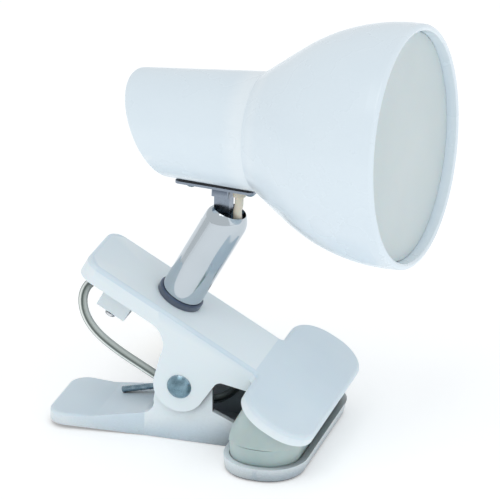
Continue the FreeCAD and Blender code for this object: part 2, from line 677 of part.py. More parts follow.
def tilt_joint():
    """Fork in the tube and the bolt that the neck turns on."""
    inner = TUBE_RADIUS - TUBE_WALL
    cheek_in = NECK_HALF_THICKNESS + HINGE_WASHER + 0.1
    cheek_out = cheek_in + CHEEK_THICKNESS
    base_top = BOLT_HEIGHT - 9.5
    fork = post(inner, base_top - 5, base_top)
    for side in (-1, 1):
        y = sorted((side * cheek_in, side * cheek_out))
        cheek = block(-NECK_RADIUS - 0.9, LEAD_X - LEAD_RADIUS, y[0], y[1], base_top - 1,
                      BOLT_HEIGHT + 2.6)
        fork = fork.fuse(cheek)
    gap = LEAD_RADIUS + SEAT_GAP
    fork = fork.cut(post(gap, 0, base_top + 1, LEAD_X)).cut(block(LEAD_X, 10, -gap, gap, 0, 60))
    centre = Vec(0, 0, BOLT_HEIGHT)
    fork = fork.cut(rod(BOLT_RADIUS, centre - ACROSS * 20, centre + ACROSS * 20)).removeSplitter()
    add("hinge_fork", fork, TUBE)
    near = centre - ACROSS * cheek_out
    far = centre + ACROSS * cheek_out
    end = far + ACROSS * BOLT_HEAD_HEIGHT
    head = rod(BOLT_HEAD_RADIUS, near - ACROSS * BOLT_HEAD_HEIGHT, near)
    add("hinge_bolt", rod(BOLT_RADIUS, near, end).fuse(head).removeSplitter(), TUBE)
    add("hinge_nut", rod(BOLT_HEAD_RADIUS, far, end).cut(rod(BOLT_RADIUS, centre, end)), TUBE)
    rings = []
    bolt = rod(BOLT_RADIUS, near, far)
    for side in (-1, 1):
        start = centre + ACROSS * (side * (NECK_HALF_THICKNESS + 0.05))
        rings.append(rod(NECK_RADIUS - 0.1, start, start + ACROSS * (side * HINGE_WASHER)).cut(bolt))
    add("hinge_washers", Part.makeCompound(rings), TUBE)


# ---- head bracket, in the bracket frame ---------------------------------------------------------
SEAT = PLATE_BOTTOM + PLATE_THICKNESS + GASKET_THICKNESS     # housing's flat above the tilt bolt
SPIGOT_TOP = INNER_FLOOR + 5.0
BUSHING_STEM = LEAD_RADIUS + BUSHING_WALL


def knuckle():
    """Neck on the tilt bolt, block under the plate and threaded spigot through it."""
    neck = block(-NECK_RADIUS, NECK_RADIUS, -NECK_HALF_THICKNESS, NECK_HALF_THICKNESS, 0, BLOCK_BOTTOM)
    eye = rod(NECK_RADIUS, ACROSS * -NECK_HALF_THICKNESS, ACROSS * NECK_HALF_THICKNESS)
    body = block(-BLOCK_HALF_LENGTH, BLOCK_HALF_LENGTH, -BLOCK_HALF_WIDTH, BLOCK_HALF_WIDTH,
                 BLOCK_BOTTOM, PLATE_BOTTOM)
    body = fillet(body, 0.5, lambda e: e.BoundBox.ZLength > 2)
    spigot = post(SPIGOT_RADIUS, PLATE_BOTTOM, SPIGOT_TOP)
    hole = rod(BOLT_RADIUS + PIN_CLEARANCE, ACROSS * -9, ACROSS * 9)
    return neck.fuse([eye, body, spigot]).cut(hole).removeSplitter()


def bracket_holes(low, high):
    """The screw, spigot and bushing holes of the bracket stack between two heights."""
    holes = [post(SCREW_RADIUS, low, high, x, BRACKET_SCREW_Y) for x in BRACKET_SCREWS]
    return holes + [post(SPIGOT_RADIUS, low, high), post(BUSHING_STEM, low, high, BUSHING_X, BUSHING_Y)]


def bracket_screw(x):
    """Pan-head screw with a cross recess, head down."""
    head = dome(SCREW_HEAD_RADIUS, SCREW_HEAD_HEIGHT, Vec(x, 0, PLATE_BOTTOM), -UP)
    shank = post(SCREW_RADIUS, PLATE_BOTTOM, INNER_FLOOR + 3.0, x)
    depth = PLATE_BOTTOM - SCREW_HEAD_HEIGHT + 0.7
    bar = 0.3
    reach = 1.4
    cross = [block(x - reach, x + reach, -bar, bar, 0, depth),
             block(x - bar, x + bar, -reach, reach, 0, depth)]
    screw = head.fuse(shank).cut(cross).removeSplitter()
    screw.translate(ACROSS * BRACKET_SCREW_Y)
    return screw


def bracket():
    """Plate, gasket, screws, nut plate and bushing under the housing."""
    front = PLATE_BACK + PLATE_LENGTH
    plate_top = PLATE_BOTTOM + PLATE_THICKNESS
    holes = bracket_holes(0, INNER_FLOOR + 5)
    plate = rounded_slab(PLATE_BACK, front, PLATE_HALF_WIDTH, 2.0, PLATE_BOTTOM, plate_top)
    add("bracket_plate", plate.cut(holes), BRACKET)
    gasket = rounded_slab(PLATE_BACK + 0.6, front - 0.6, PLATE_HALF_WIDTH - 0.6, 1.6, plate_top, SEAT)
    add("bracket_gasket", gasket.cut(holes), BRACKET)
    add("bracket_screws", Part.makeCompound([bracket_screw(x) for x in BRACKET_SCREWS]), BRACKET)
    inner = block(PLATE_BACK + 2.4, front - 0.6, -5.5, 5.5, INNER_FLOOR, INNER_FLOOR + 1.5)
    add("nut_plate", inner.cut(holes), BRACKET)
    add("knuckle_nut", hex_nut(8.0, SPIGOT_RADIUS, INNER_FLOOR + 1.5, INNER_FLOOR + 4.5), BRACKET)
    collar = post(BUSHING_RADIUS, PLATE_BOTTOM - BUSHING_COLLAR, PLATE_BOTTOM, BUSHING_X, BUSHING_Y)
    tube = post(BUSHING_STEM, PLATE_BOTTOM, INNER_FLOOR + 1.5, BUSHING_X, BUSHING_Y)
    bore = post(LEAD_RADIUS, 0, 40, BUSHING_X, BUSHING_Y)
    collar = fillet(collar, 0.5, lambda e: e.BoundBox.ZMax < PLATE_BOTTOM - BUSHING_COLLAR + 1e-3)
    add("lead_bushing", collar.fuse(tube).cut(bore).removeSplitter(), BRACKET)


# ---- head, axis along X and its origin on the diffuser's face -----------------------------------
def housing_radius(x):
    """Outer radius of the rear housing at a place along the axis."""
    return JOINT_RADIUS + HOUSING_TAPER * (x + SHADE_LENGTH)


def slanted_cone(inset):
    """Tapered housing form cut square to its slanted rear end, smaller by inset."""
    back = -HOUSING_REAR - 20
    cone = Part.makeCone(housing_radius(back) - inset, housing_radius(-SHADE_LENGTH) - inset,
                         -SHADE_LENGTH - back, Vec(back, 0, 0), ALONG)
    lean = math.atan(HOUSING_SLANT)
    keep = block(0, 100, -40, 40, -60, 60)
    keep.Placement = FreeCAD.Placement(Vec(-HOUSING_REAR + inset / math.cos(lean), 0, 0),
                                       FreeCAD.Rotation(ACROSS, -math.degrees(lean)))
    return cone.common(keep)


def switch_frame():
    """Frame on the slanted rear end, its Z pointing out of the housing."""
    lean = math.degrees(math.atan(HOUSING_SLANT))
    return frame(LIGHT, Vec(-HOUSING_REAR, 0, 0), ACROSS, -90 - lean)


def rear_housing():
    """Tapered shell with a slanted closed end, a bracket seat below and a switch hole."""
    outer = slanted_cone(0)
    outer = fillet(outer, HOUSING_REAR_ROUND, lambda e: e.BoundBox.XMax < -HOUSING_REAR + 15
                   and e.BoundBox.YLength > 20)
    shell = outer.cut(slanted_cone(HOUSING_WALL))
    under = LIGHT.inverse().multiply(BRACKET)
    level = LIGHT.inverse().multiply(HEAD)
    front = PLATE_BACK + PLATE_LENGTH
    pad = rounded_slab(PLATE_BACK, front, PLATE_HALF_WIDTH - 1.0, 2.0, SEAT - 1, INNER_FLOOR)
    posts = [post(2.2, SEAT, BOARD_HEIGHT, x, y) for x, y in driver_posts()]
    inside = [moved(pad, under)] + [moved(p, level) for p in posts]
    body = shell.fuse([piece.common(outer) for piece in inside])
    flat = rounded_slab(PLATE_BACK - SEAT_GAP, front + SEAT_GAP, PLATE_HALF_WIDTH + SEAT_GAP, 2.0,
                        SEAT - 5, SEAT)
    cuts = [moved(piece, under) for piece in [flat] + bracket_holes(SEAT - 1, INNER_FLOOR + 0.5)]
    cuts += [moved(post(0.9, BOARD_HEIGHT - 6, BOARD_HEIGHT + 1, x, y), level)
             for x, y in driver_posts()]
    cuts.append(moved(post(SWITCH_RADIUS, -6, 6), LIGHT.inverse().multiply(switch_frame())))
    return body.cut(cuts).removeSplitter()


def driver_posts():
    """Places of the two posts that carry the driver board, in the head frame."""
    inset = 2.6
    return ((BOARD_BACK + inset + 0.4, inset - BOARD_HALF_WIDTH),
            (BOARD_BACK + BOARD_LENGTH - 8.0, BOARD_HALF_WIDTH - inset))


def shade_outside():
    """Steps of the shade's outer line, from the joint with the housing to the rim."""
    knee = -SHADE_LENGTH + SHADE_CONE_LENGTH
    middle = (knee - 1) / 2
    return ((knee, arc_radius(knee)), ((middle, arc_radius(middle)), (-1.0, SHADE_RADIUS)),
            (RIM_DEPTH - 1.6, SHADE_RADIUS - 0.1),
            ((RIM_DEPTH - 0.4, SHADE_RADIUS - 0.6), (RIM_DEPTH, SHADE_RADIUS - 1.7)))


def arc_radius(x):
    """Radius of the shade's arc at a place along the axis."""
    return SHADE_RADIUS - SHADE_ARC_RADIUS + math.sqrt(SHADE_ARC_RADIUS ** 2 - (x + 1) ** 2)


def shade_profile():
    """Half section of the shade, x along the axis and z as radius."""
    joint = -SHADE_LENGTH
    knee = joint + SHADE_CONE_LENGTH
    middle = (knee - 1) / 2
    ledge = -DIFFUSER_THICKNESS
    seat = DIFFUSER_RADIUS + SEAT_GAP
    lip = seat - 2.0
    tail = joint - 2.4
    spigot = JOINT_RADIUS - HOUSING_WALL - 0.4
    bore = spigot - 1.8
    return outline(
        (joint, JOINT_RADIUS), *shade_outside(),
        (RIM_DEPTH - 0.5, seat + 0.3), (0.0, seat), (ledge, seat),
        (ledge, lip), (ledge - 2.0, lip), (ledge - 4.0, seat + 0.2),
        ((middle, arc_radius(middle) - SHADE_WALL), (knee + 0.8, arc_radius(knee) - SHADE_WALL)),
        (joint + 1.2, JOINT_RADIUS - SHADE_WALL + 0.3), (joint + 0.6, bore),
        (tail, bore), (tail, spigot), (joint, spigot))


def boss_places():
    """Three screw bosses round the axis, as (y, z)."""
    return [(BOSS_CIRCLE * math.cos(a), BOSS_CIRCLE * math.sin(a))
            for a in (math.radians(90 + 120 * i) for i in range(3))]


def shade():
    """Bell-shaped shade with a recessed seat for the diffuser and bosses for the LED plate."""
    joint = -SHADE_LENGTH
    body = lathe(shade_profile())
    inside = lathe(outline((joint, JOINT_RADIUS - 0.5), (joint + SHADE_CONE_LENGTH,
                           arc_radius(joint + SHADE_CONE_LENGTH) - 0.5), (-SINK_BACK, SHADE_RADIUS),
                           (-SINK_BACK, 0), (joint, 0)))
    for y, z in boss_places():
        boss = rod(BOSS_RADIUS, Vec(joint, y, z), Vec(-SINK_BACK, y, z)).common(inside)
        hole = rod(BOARD_SCREW_RADIUS, Vec(-SINK_BACK - BOARD_SCREW_LENGTH, y, z),
                   Vec(-SINK_BACK + 1, y, z))
        body = body.fuse(boss).cut(hole)
    return body.removeSplitter()


def led_module():
    """Heat sink, board, chips, screws and reflector behind the diffuser."""
    sink_front = -SINK_BACK + SINK_THICKNESS
    board_front = sink_front + BOARD_THICKNESS
    holes = [rod(WIRE_RADIUS, Vec(-60, 0, z), Vec(0, 0, z)) for z in LED_WIRES]
    screws = []
    for y, z in boss_places():
        holes.append(rod(BOARD_SCREW_RADIUS, Vec(-60, y, z), Vec(0, y, z)))
        shank = rod(BOARD_SCREW_RADIUS, Vec(-SINK_BACK - BOARD_SCREW_LENGTH, y, z),
                    Vec(board_front, y, z))
        screws.append(shank.fuse(dome(2.0, 1.2, Vec(board_front, y, z), ALONG)).removeSplitter())
    sink = rod(BOARD_RADIUS + 2.5, Vec(-SINK_BACK, 0, 0), Vec(sink_front, 0, 0))
    board = rod(BOARD_RADIUS, Vec(sink_front, 0, 0), Vec(board_front, 0, 0))
    chips = []
    for i in range(CHIP_COUNT):
        chip = block(board_front, board_front + 0.8, -1.4, 1.4, -1.75, 1.75)
        chip.translate(Vec(0, 0, CHIP_CIRCLE))
        chip.rotate(ORIGIN, ALONG, 360 * (i + 0.5) / CHIP_COUNT)
        chips.append(chip)
    back = board_front + 1.6
    front = -DIFFUSER_THICKNESS - 2.4
    flare = DIFFUSER_RADIUS - 2.4
    reflector = outline((back, BOARD_RADIUS - 1.0), (front, flare - 1.0), (front, flare),
                        (back, BOARD_RADIUS + 0.2))
    add("heat_sink", sink.cut(holes), LIGHT)
    add("led_board", board.cut(holes), LIGHT)
    add("led_chips", Part.makeCompound(chips), LIGHT)
    add("board_screws", Part.makeCompound(screws), LIGHT)
    add("reflector", lathe(reflector), LIGHT)
    disc = rod(DIFFUSER_RADIUS, Vec(-DIFFUSER_THICKNESS, 0, 0), ORIGIN)
    add("diffuser", fillet(disc, 0.3, lambda e: e.BoundBox.XMin > -0.1), LIGHT)


def driver():
    """Driver board on its posts, its larger components and the leads to the LED board."""
    top = BOARD_HEIGHT + BOARD_THICKNESS
    front = BOARD_BACK + BOARD_LENGTH
    board = block(BOARD_BACK, front, -BOARD_HALF_WIDTH, BOARD_HALF_WIDTH, BOARD_HEIGHT, top)
    screws = []
    for x, y in driver_posts():
        board = board.cut(post(0.9, 0, 60, x, y))
        shank = post(0.9, BOARD_HEIGHT - 5, top, x, y)
        screws.append(shank.fuse(dome(1.7, 1.1, Vec(x, y, top), UP)).removeSplitter())
    add("driver_board", board, HEAD)
    add("driver_screws", Part.makeCompound(screws), HEAD)
    can = rod(4.0, Vec(BOARD_BACK + 7, -4.2, top + 4), Vec(BOARD_BACK + 16, -4.2, top + 4))
    add("driver_capacitor", fillet(can, 0.6, lambda e: True), HEAD)
    core = block(BOARD_BACK + 17.5, BOARD_BACK + 27, -7, 3, top, top + 9)
    add("driver_transformer", fillet(core, 0.8, lambda e: e.BoundBox.ZLength > 5), HEAD)
    terminal = block(BOARD_BACK + 4, BOARD_BACK + 9, 3, 9, top, top + 6)
    add("driver_terminal", terminal, HEAD)
    start = front - FACE_FORWARD
    end = -SINK_BACK + SINK_THICKNESS + BOARD_THICKNESS
    wires = [rod(WIRE_RADIUS, Vec(start, 0, z), Vec(end, 0, z)) for z in LED_WIRES]
    add("led_leads", Part.makeCompound(wires), LIGHT)
    low = Vec(BUSHING_X, BUSHING_Y, INNER_FLOOR + 1.5)
    add("head_lead", rod(LEAD_RADIUS, BRACKET.multVec(Vec(BUSHING_X, BUSHING_Y, PLATE_BOTTOM)),
                         BRACKET.multVec(low + UP * (BOARD_HEIGHT - INNER_FLOOR - 2.6))))


def switch():
    """Push switch in the slanted rear end."""
    where = switch_frame()
    bore = SWITCH_BUTTON_RADIUS + MOVING_GAP
    flange = fillet(post(SWITCH_RADIUS + 1.6, 0, SWITCH_FLANGE), 0.5,
                    lambda e: e.BoundBox.ZMin > SWITCH_FLANGE - 0.1)
    barrel = post(SWITCH_RADIUS, -SWITCH_DEPTH, 0)
    well = post(bore, -SWITCH_WELL, 5)
    add("switch_body", flange.fuse(barrel).cut(well).removeSplitter(), where)
    add("switch_nut", hex_nut(15.0, SWITCH_RADIUS, -HOUSING_WALL - 2.6, -HOUSING_WALL), where)
    top = SWITCH_FLANGE + SWITCH_TRAVEL + 0.4
    button = post(SWITCH_BUTTON_RADIUS, -SWITCH_WELL + SWITCH_TRAVEL + MOVING_GAP, top)
    add("switch_button", fillet(button, 0.7, lambda e: e.BoundBox.ZMin > top - 0.1), where)


# ---- leads and cord -----------------------------------------------------------------------------
def to_floor(placement, x, y, z):
    """A point of one frame, in the floor frame."""
    return placement.multVec(Vec(x, y, z))


def leads():
    """Lead from the bushing down the post, and the cord from the stem to the cord grip."""
    neck = [to_floor(BRACKET, BUSHING_X, BUSHING_Y, PLATE_BOTTOM),
            to_floor(BRACKET, BUSHING_X, BUSHING_Y, PLATE_BOTTOM - 6.4),
            to_floor(TUBE, 2.0, -1.2, BOLT_HEIGHT + 8.5),
            to_floor(TUBE, LEAD_X, 0, BOLT_HEIGHT + 3.5),
            to_floor(TUBE, LEAD_X, 0, BOLT_HEIGHT - 1.5 + JOINT_GAP)]
    add("neck_lead", cord(neck, LEAD_RADIUS, "neck_lead"))
    down = [Vec(LEAD_X, 0, BOLT_HEIGHT - 1.5), Vec(LEAD_X, 0, BOLT_HEIGHT - 16.5),
            Vec(2.9, 0, BOLT_HEIGHT - 21.5), Vec(0.5, 0, INSERT_TOP - 0.4), Vec(0, 0, 0.8),
            Vec(0, 0, -NIPPLE_BELOW)]
    add("tube_lead", cord(down, LEAD_RADIUS, "tube_lead"), TUBE)
    stem_end = ARM_TOP - NIPPLE_BELOW
    level = GRIP_CORD_HEIGHT
    grip_front = GRIP_BACK + GRIP_LENGTH
    run = [Vec(POST_U, 0, stem_end - JOINT_GAP), Vec(POST_U, 0, level + 0.9),
           Vec(POST_U - 1.7, 2.0, level - 1.5), Vec(POST_U - 4.9, 3.6, level - 1.9),
           Vec(POST_U - 7.5, 1.4, level - 0.8), Vec(grip_front + 2.2, GRIP_CENTRE_Y, level),
           Vec(GRIP_BACK, GRIP_CENTRE_Y, level)]
    add("arm_lead", cord(run, CORD_RADIUS, "arm_lead"), ARM)


def coil_height():
    """Height of the put-away coil."""
    return 2 * CORD_RADIUS * COIL_TURNS_HIGH


def coil_outer_radius():
    """Outside of the put-away coil."""
    return COIL_MIDDLE_RADIUS + CORD_RADIUS * COIL_TURNS_ACROSS


def mains_cord():
    """Free cord from the cord grip, through the clip and over its far wall to the coil."""
    start = to_floor(ARM, GRIP_BACK - JOINT_GAP, GRIP_CENTRE_Y, GRIP_CORD_HEIGHT)
    add("mains_cord", cord([start] + CORD_POINTS, CORD_RADIUS, "mains_cord"))


def coil_ring(inset):
    """Ring form of the put-away coil, smaller by inset."""
    outer = coil_outer_radius() - inset
    inner = COIL_MIDDLE_RADIUS - CORD_RADIUS * COIL_TURNS_ACROSS + inset
    ring = washer(outer, inner, inset, coil_height() - inset)
    ring = fillet(ring, CORD_RADIUS * 0.8 - inset / 2, lambda e: e.BoundBox.ZLength < 1e-3)
    ring.translate(COIL_CENTRE)
    return ring


def cord_coil():
    """Put-away coil and the tie round it."""
    ring = coil_ring(0)
    band = block(0, 2 * COIL_MIDDLE_RADIUS, -TIE_WIDTH / 2, TIE_WIDTH / 2, -1, coil_height() + 1)
    band.rotate(ORIGIN, UP, TIE_ANGLE)
    band.translate(COIL_CENTRE)
    tie = ring.cut(coil_ring(TIE_THICKNESS)).common(band)
    add("coil_tie", tie)
    add("cord_coil", ring.cut(tie))


def plug():
    """Two-pin plug lying on the coil."""
    body = rounded_slab(-PLUG_LENGTH / 2, PLUG_LENGTH / 2, PLUG_WIDTH / 2, 6.0, 0, PLUG_THICKNESS)
    body = fillet(body, 2.2, lambda e: e.BoundBox.ZLength < 1e-3)
    pins = []
    for side in (-1, 1):
        y = side * PLUG_PIN_SPACING / 2
        root = Vec(PLUG_LENGTH / 2, y, PLUG_THICKNESS / 2)
        pin = rod(PLUG_PIN_RADIUS, root, root + ALONG * PLUG_PIN_LENGTH)
        pins.append(fillet(pin, 0.8, lambda e: e.BoundBox.XMin > PLUG_LENGTH / 2 + 1
                           and e.BoundBox.XLength < 1e-3))
    lying = FreeCAD.Placement(PLUG_CENTRE + UP * coil_height(), FreeCAD.Rotation(UP, PLUG_ANGLE))
    add("plug_body", body, lying)
    add("plug_pins", Part.makeCompound(pins), lying)
    add("plug_cord", cord(PLUG_CORD_POINTS, CORD_RADIUS, "plug_cord"))


# ---- assembly -----------------------------------------------------------------------------------
CORD_NODES = ("mains_cord", "cord_coil", "coil_tie", "plug_cord", "plug_body", "plug_pins")


def write_parts():
    """Move the lamp to its origin and write one file per part."""
    boxes = [shape.optimalBoundingBox(False) for name, shape in PARTS.items()
             if name not in CORD_NODES]
    low = Vec(min(b.XMin for b in boxes), min(b.YMin for b in boxes), min(b.ZMin for b in boxes))
    high = Vec(max(b.XMax for b in boxes), max(b.YMax for b in boxes), max(b.ZMax for b in boxes))
    shift = Vec(-(low.x + high.x) / 2, -(low.y + high.y) / 2, -low.z)
    os.makedirs("parts", exist_ok=True)
    for name, shape in PARTS.items():
        moved(shape, FreeCAD.Placement(shift, FreeCAD.Rotation())).exportStep(f"parts/{name}.step")
    print("shift", [round(v, 3) for v in shift], "size", [round(v, 2) for v in (high - low)])
    for label, place in (("pin", ARM), ("tube", TUBE), ("head", HEAD), ("light", LIGHT),
                         ("bracket", BRACKET), ("switch", switch_frame())):
        base = place.Base + shift
        axes = [place.Rotation.multVec(v) for v in (ALONG, ACROSS, UP)]
        print(label, [round(v, 3) for v in base], [[round(v, 5) for v in a] for a in axes])


def build():
    """Make every part."""
    add("lower_arm", lower_arm())
    add("lower_pad", lower_pad())
    add("upper_arm", upper_arm(), ARM)
    add("upper_pad", upper_pad())
    add("pivot_rivet", pivot_rivet())
    add("rivet_washer", rivet_washer())
    add("torsion_spring", torsion_spring())
    add("cord_grip", cord_grip(), ARM)
    add("cord_grip_screws", cord_grip_screws(), ARM)
    add("arm_tube", arm_tube(), TUBE)
    stem()
    tilt_joint()
    add("knuckle", knuckle(), BRACKET)
    bracket()
    add("rear_housing", rear_housing(), LIGHT)
    add("shade", shade(), LIGHT)
    led_module()
    driver()
    switch()
    leads()
    mains_cord()
    cord_coil()
    plug()
    write_parts()


build()
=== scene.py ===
import math
import bpy
import bmesh
from mathutils import Matrix, Vector
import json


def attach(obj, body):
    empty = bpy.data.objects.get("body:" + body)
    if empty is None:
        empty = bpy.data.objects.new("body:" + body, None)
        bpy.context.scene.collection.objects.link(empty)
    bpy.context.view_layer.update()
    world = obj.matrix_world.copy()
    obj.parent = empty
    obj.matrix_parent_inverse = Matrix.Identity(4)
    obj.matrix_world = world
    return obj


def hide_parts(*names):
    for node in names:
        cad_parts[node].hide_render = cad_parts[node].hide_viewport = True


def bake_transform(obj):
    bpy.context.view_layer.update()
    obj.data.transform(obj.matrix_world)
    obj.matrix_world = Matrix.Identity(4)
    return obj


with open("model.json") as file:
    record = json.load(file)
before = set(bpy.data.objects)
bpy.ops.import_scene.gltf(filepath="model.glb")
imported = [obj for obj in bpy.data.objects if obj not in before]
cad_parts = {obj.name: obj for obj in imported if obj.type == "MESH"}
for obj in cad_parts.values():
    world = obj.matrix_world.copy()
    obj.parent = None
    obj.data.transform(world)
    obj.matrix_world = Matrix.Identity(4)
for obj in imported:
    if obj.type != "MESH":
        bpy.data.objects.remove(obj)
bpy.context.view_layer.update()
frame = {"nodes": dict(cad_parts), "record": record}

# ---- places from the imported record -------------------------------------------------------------
JOINTS = {j["name"]: j for j in frame["record"]["behaviour"]["joints"]}
PIN = Vector(JOINTS["clip_hinge"]["pos_m"])
TUBE_AT = Vector(JOINTS["post_swivel"]["pos_m"])
BOLT_AT = Vector(JOINTS["head_tilt"]["pos_m"])
FLOOR_SHIFT = Vector((PIN.x, PIN.y, 0))

# How the upper arm, the post, the head and its bracket are turned at rest.
TILT, SWIVEL, HEAD_TIP, TAPER = (math.radians(a) for a in (28.8, -6.9, -31.8, 3.262))
ARM_TURN = Matrix.Rotation(TILT, 3, "Y")
TUBE_TURN = ARM_TURN @ Matrix.Rotation(SWIVEL, 3, "Z")
BRACKET_TURN = TUBE_TURN @ Matrix.Rotation(HEAD_TIP, 3, "Y") @ Matrix.Rotation(TAPER, 3, "Y")


# ---- camera, fitted to the photograph ----------------------------------------------------------
LENS_MM = 290.4
SENSOR_MM = 36
CAMERA_FROM_PIN = Vector((0.4145, -1.2908, 0.6176))
BACK = Vector((0.2683, -0.8820, 0.3874)).normalized()
UP_HINT = Vector((-0.1200, 0.3684, 0.9219))
RIGHT = UP_HINT.cross(BACK).normalized()
UP = BACK.cross(RIGHT)
camera_data = bpy.data.cameras.new("camera")
camera_data.lens = LENS_MM
camera_data.sensor_width = SENSOR_MM
camera_data.clip_end = 20
camera = bpy.data.objects.new("camera", camera_data)
camera_turn = Matrix((RIGHT, UP, BACK)).transposed().to_4x4()
camera.matrix_world = Matrix.Translation(PIN + CAMERA_FROM_PIN) @ camera_turn
bpy.context.collection.objects.link(camera)
bpy.context.scene.camera = camera


# ---- materials ---------------------------------------------------------------------------------
MIX_FACTOR, MIX_A, MIX_B, MIX_RESULT = 0, 6, 7, 2      # the Mix node's sockets for colours
NOISE_MIDDLE = (0.3, 0.7)       # where most of a noise lies
BUMP_DEPTH = 0.00005            # metres
# how far the painted shade in hollows looks for closing surfaces
SHADE_REACH = 0.022            # metres


def ramp(tree, factor, stops):
    """A colour ramp fed by a factor; stops are (position, colour)."""
    node = tree.nodes.new("ShaderNodeValToRGB")
    while len(node.color_ramp.elements) < len(stops):
        node.color_ramp.elements.new(0.5)
    for element, (place, colour) in zip(node.color_ramp.elements, stops):
        element.position = place
        element.color = (*colour, 1)
    tree.links.new(factor, node.inputs["Fac"])
    return node.outputs["Color"]


def noise(tree, scale, detail=3.0, stretch=(1, 1, 1)):
    """Noise in the object's own space, in cells per metre."""
    where = tree.nodes.new("ShaderNodeTexCoord")
    mapping = tree.nodes.new("ShaderNodeMapping")
    mapping.inputs["Scale"].default_value = stretch
    node = tree.nodes.new("ShaderNodeTexNoise")
    node.inputs["Scale"].default_value = scale
    node.inputs["Detail"].default_value = detail
    tree.links.new(where.outputs["Object"], mapping.inputs["Vector"])
    tree.links.new(mapping.outputs["Vector"], node.inputs["Vector"])
    return node.outputs["Fac"]


def spread(tree, factor, low, high):
    """Maps a noise's middle range to low..high."""
    node = tree.nodes.new("ShaderNodeMapRange")
    node.inputs["From Min"].default_value = NOISE_MIDDLE[0]
    node.inputs["From Max"].default_value = NOISE_MIDDLE[1]
    node.inputs["To Min"].default_value = low
    node.inputs["To Max"].default_value = high
    tree.links.new(factor, node.inputs["Value"])
    return node.outputs["Result"]


def mixed(tree, one, two, factor, blend_type="MIX"):
    """Mixes two colours; each may be a socket or a fixed value, and so may the factor."""
    mix = tree.nodes.new("ShaderNodeMix")
    mix.data_type = "RGBA"
    mix.blend_type = blend_type
    for place, value in ((MIX_FACTOR, factor), (MIX_A, one), (MIX_B, two)):
        if isinstance(value, bpy.types.NodeSocket):
            tree.links.new(value, mix.inputs[place])
        else:
            mix.inputs[place].default_value = value
    return mix.outputs[MIX_RESULT]


def painted_hollow_shade(tree, colour):
    """Paints shade into a colour deep inside narrow hollows, by how closed in the surface is there.
    """
    open_sky = tree.nodes.new("ShaderNodeAmbientOcclusion")
    open_sky.samples = 8
    open_sky.inputs["Distance"].default_value = SHADE_REACH
    shade = ramp(tree, open_sky.outputs["AO"], [(0.22, (0.03, 0.035, 0.04)), (0.62, (1, 1, 1))])
    return mixed(tree, colour, shade, 1, "MULTIPLY")


def material(name, dark, light, rough, patch=60, grain=2500, bump=0.05, stretch=(1, 1, 1),
             wear=None, paint_shade=False, **settings):
    """Two-tone surface with varied roughness and a fine bump.

    patch and grain are in cells per metre, wear is the colour of worn edges, and paint_shade
    paints shade into narrow places. The settings are sockets of the Principled shader, with _ for a
    space.
    """
    made = bpy.data.materials.new(name)
    made.use_nodes = True
    tree = made.node_tree
    shader = tree.nodes["Principled BSDF"]
    colour = ramp(tree, noise(tree, patch, 4, stretch), list(zip(NOISE_MIDDLE, (dark, light))))
    if wear:
        geometry = tree.nodes.new("ShaderNodeNewGeometry")
        edge = ramp(tree, geometry.outputs["Pointiness"], [(0.50, (0, 0, 0)), (0.56, (1, 1, 1))])
        colour = mixed(tree, colour, (*wear, 1), edge)
    # painted shade: darkens the colour inside narrow hollows
    if paint_shade:
        colour = painted_hollow_shade(tree, colour)
    tree.links.new(colour, shader.inputs["Base Color"])
    tree.links.new(spread(tree, noise(tree, patch * 2.7, 5, stretch), *rough),
                   shader.inputs["Roughness"])
    relief = tree.nodes.new("ShaderNodeBump")
    relief.inputs["Strength"].default_value = bump
    relief.inputs["Distance"].default_value = BUMP_DEPTH
    tree.links.new(noise(tree, grain, 2, stretch), relief.inputs["Height"])
    tree.links.new(relief.outputs["Normal"], shader.inputs["Normal"])
    for key, value in settings.items():
        shader.inputs[key.replace("_", " ")].default_value = value
    return made


def cord_skin():
    """Clear twin cord: two dark conductors under a pale clear sheath."""
    made = material("clear_cord", (0.5, 0.5, 0.5), (0.6, 0.6, 0.6), (0.12, 0.28), patch=400,
                    grain=1500, bump=0.05, Coat_Weight=0.6, Coat_Roughness=0.08)
    tree = made.node_tree
    across = tree.nodes.new("ShaderNodeAttribute")
    across.attribute_name = "across"
    bands = [(0.0, (0.55, 0.60, 0.58)), (0.10, (0.30, 0.34, 0.32)), (0.19, (0.05, 0.075, 0.065)),
             (0.30, (0.10, 0.13, 0.12)), (0.40, (0.62, 0.67, 0.64)), (0.52, (0.86, 0.90, 0.87)),
             (0.62, (0.60, 0.65, 0.62)), (0.72, (0.07, 0.095, 0.085)), (0.84, (0.16, 0.19, 0.18)),
             (1.0, (0.60, 0.66, 0.64))]
    # painted shade in narrow hollows, laid over the cord's bands
    tree.links.new(painted_hollow_shade(tree, ramp(tree, across.outputs["Fac"], bands)),
                   tree.nodes["Principled BSDF"].inputs["Base Color"])
    return made


enamel = material("enamel", (0.70, 0.795, 0.87), (0.745, 0.835, 0.90), (0.22, 0.34), patch=18,
                  grain=700, bump=0.035, wear=(0.80, 0.87, 0.92), Coat_Weight=0.3,
                  Coat_Roughness=0.15)
# arm_white carries painted shade in its narrow hollows
arm_white = material("arm_white", (0.60, 0.715, 0.80), (0.655, 0.76, 0.83), (0.32, 0.46),
                     patch=30, grain=1800, bump=0.05, wear=(0.76, 0.84, 0.88), paint_shade=True,
                     Subsurface_Weight=0.08, Subsurface_Scale=0.004)
grip_soft = material("grip_soft", (0.34, 0.44, 0.44), (0.45, 0.55, 0.545), (0.30, 0.48), patch=45,
                     grain=1400, bump=0.12, Subsurface_Weight=0.35, Subsurface_Scale=0.006,
                     Coat_Weight=0.15)
frosted = material("frosted", (0.555, 0.63, 0.645), (0.605, 0.67, 0.68), (0.42, 0.52), patch=22,
                   grain=2600, bump=0.10, Subsurface_Weight=0.15, Subsurface_Scale=0.005)
zinc = material("zinc", (0.04, 0.11, 0.15), (0.24, 0.38, 0.46), (0.20, 0.42), patch=260,
                grain=1900, bump=0.25, wear=(0.36, 0.47, 0.54), Metallic=1.0)
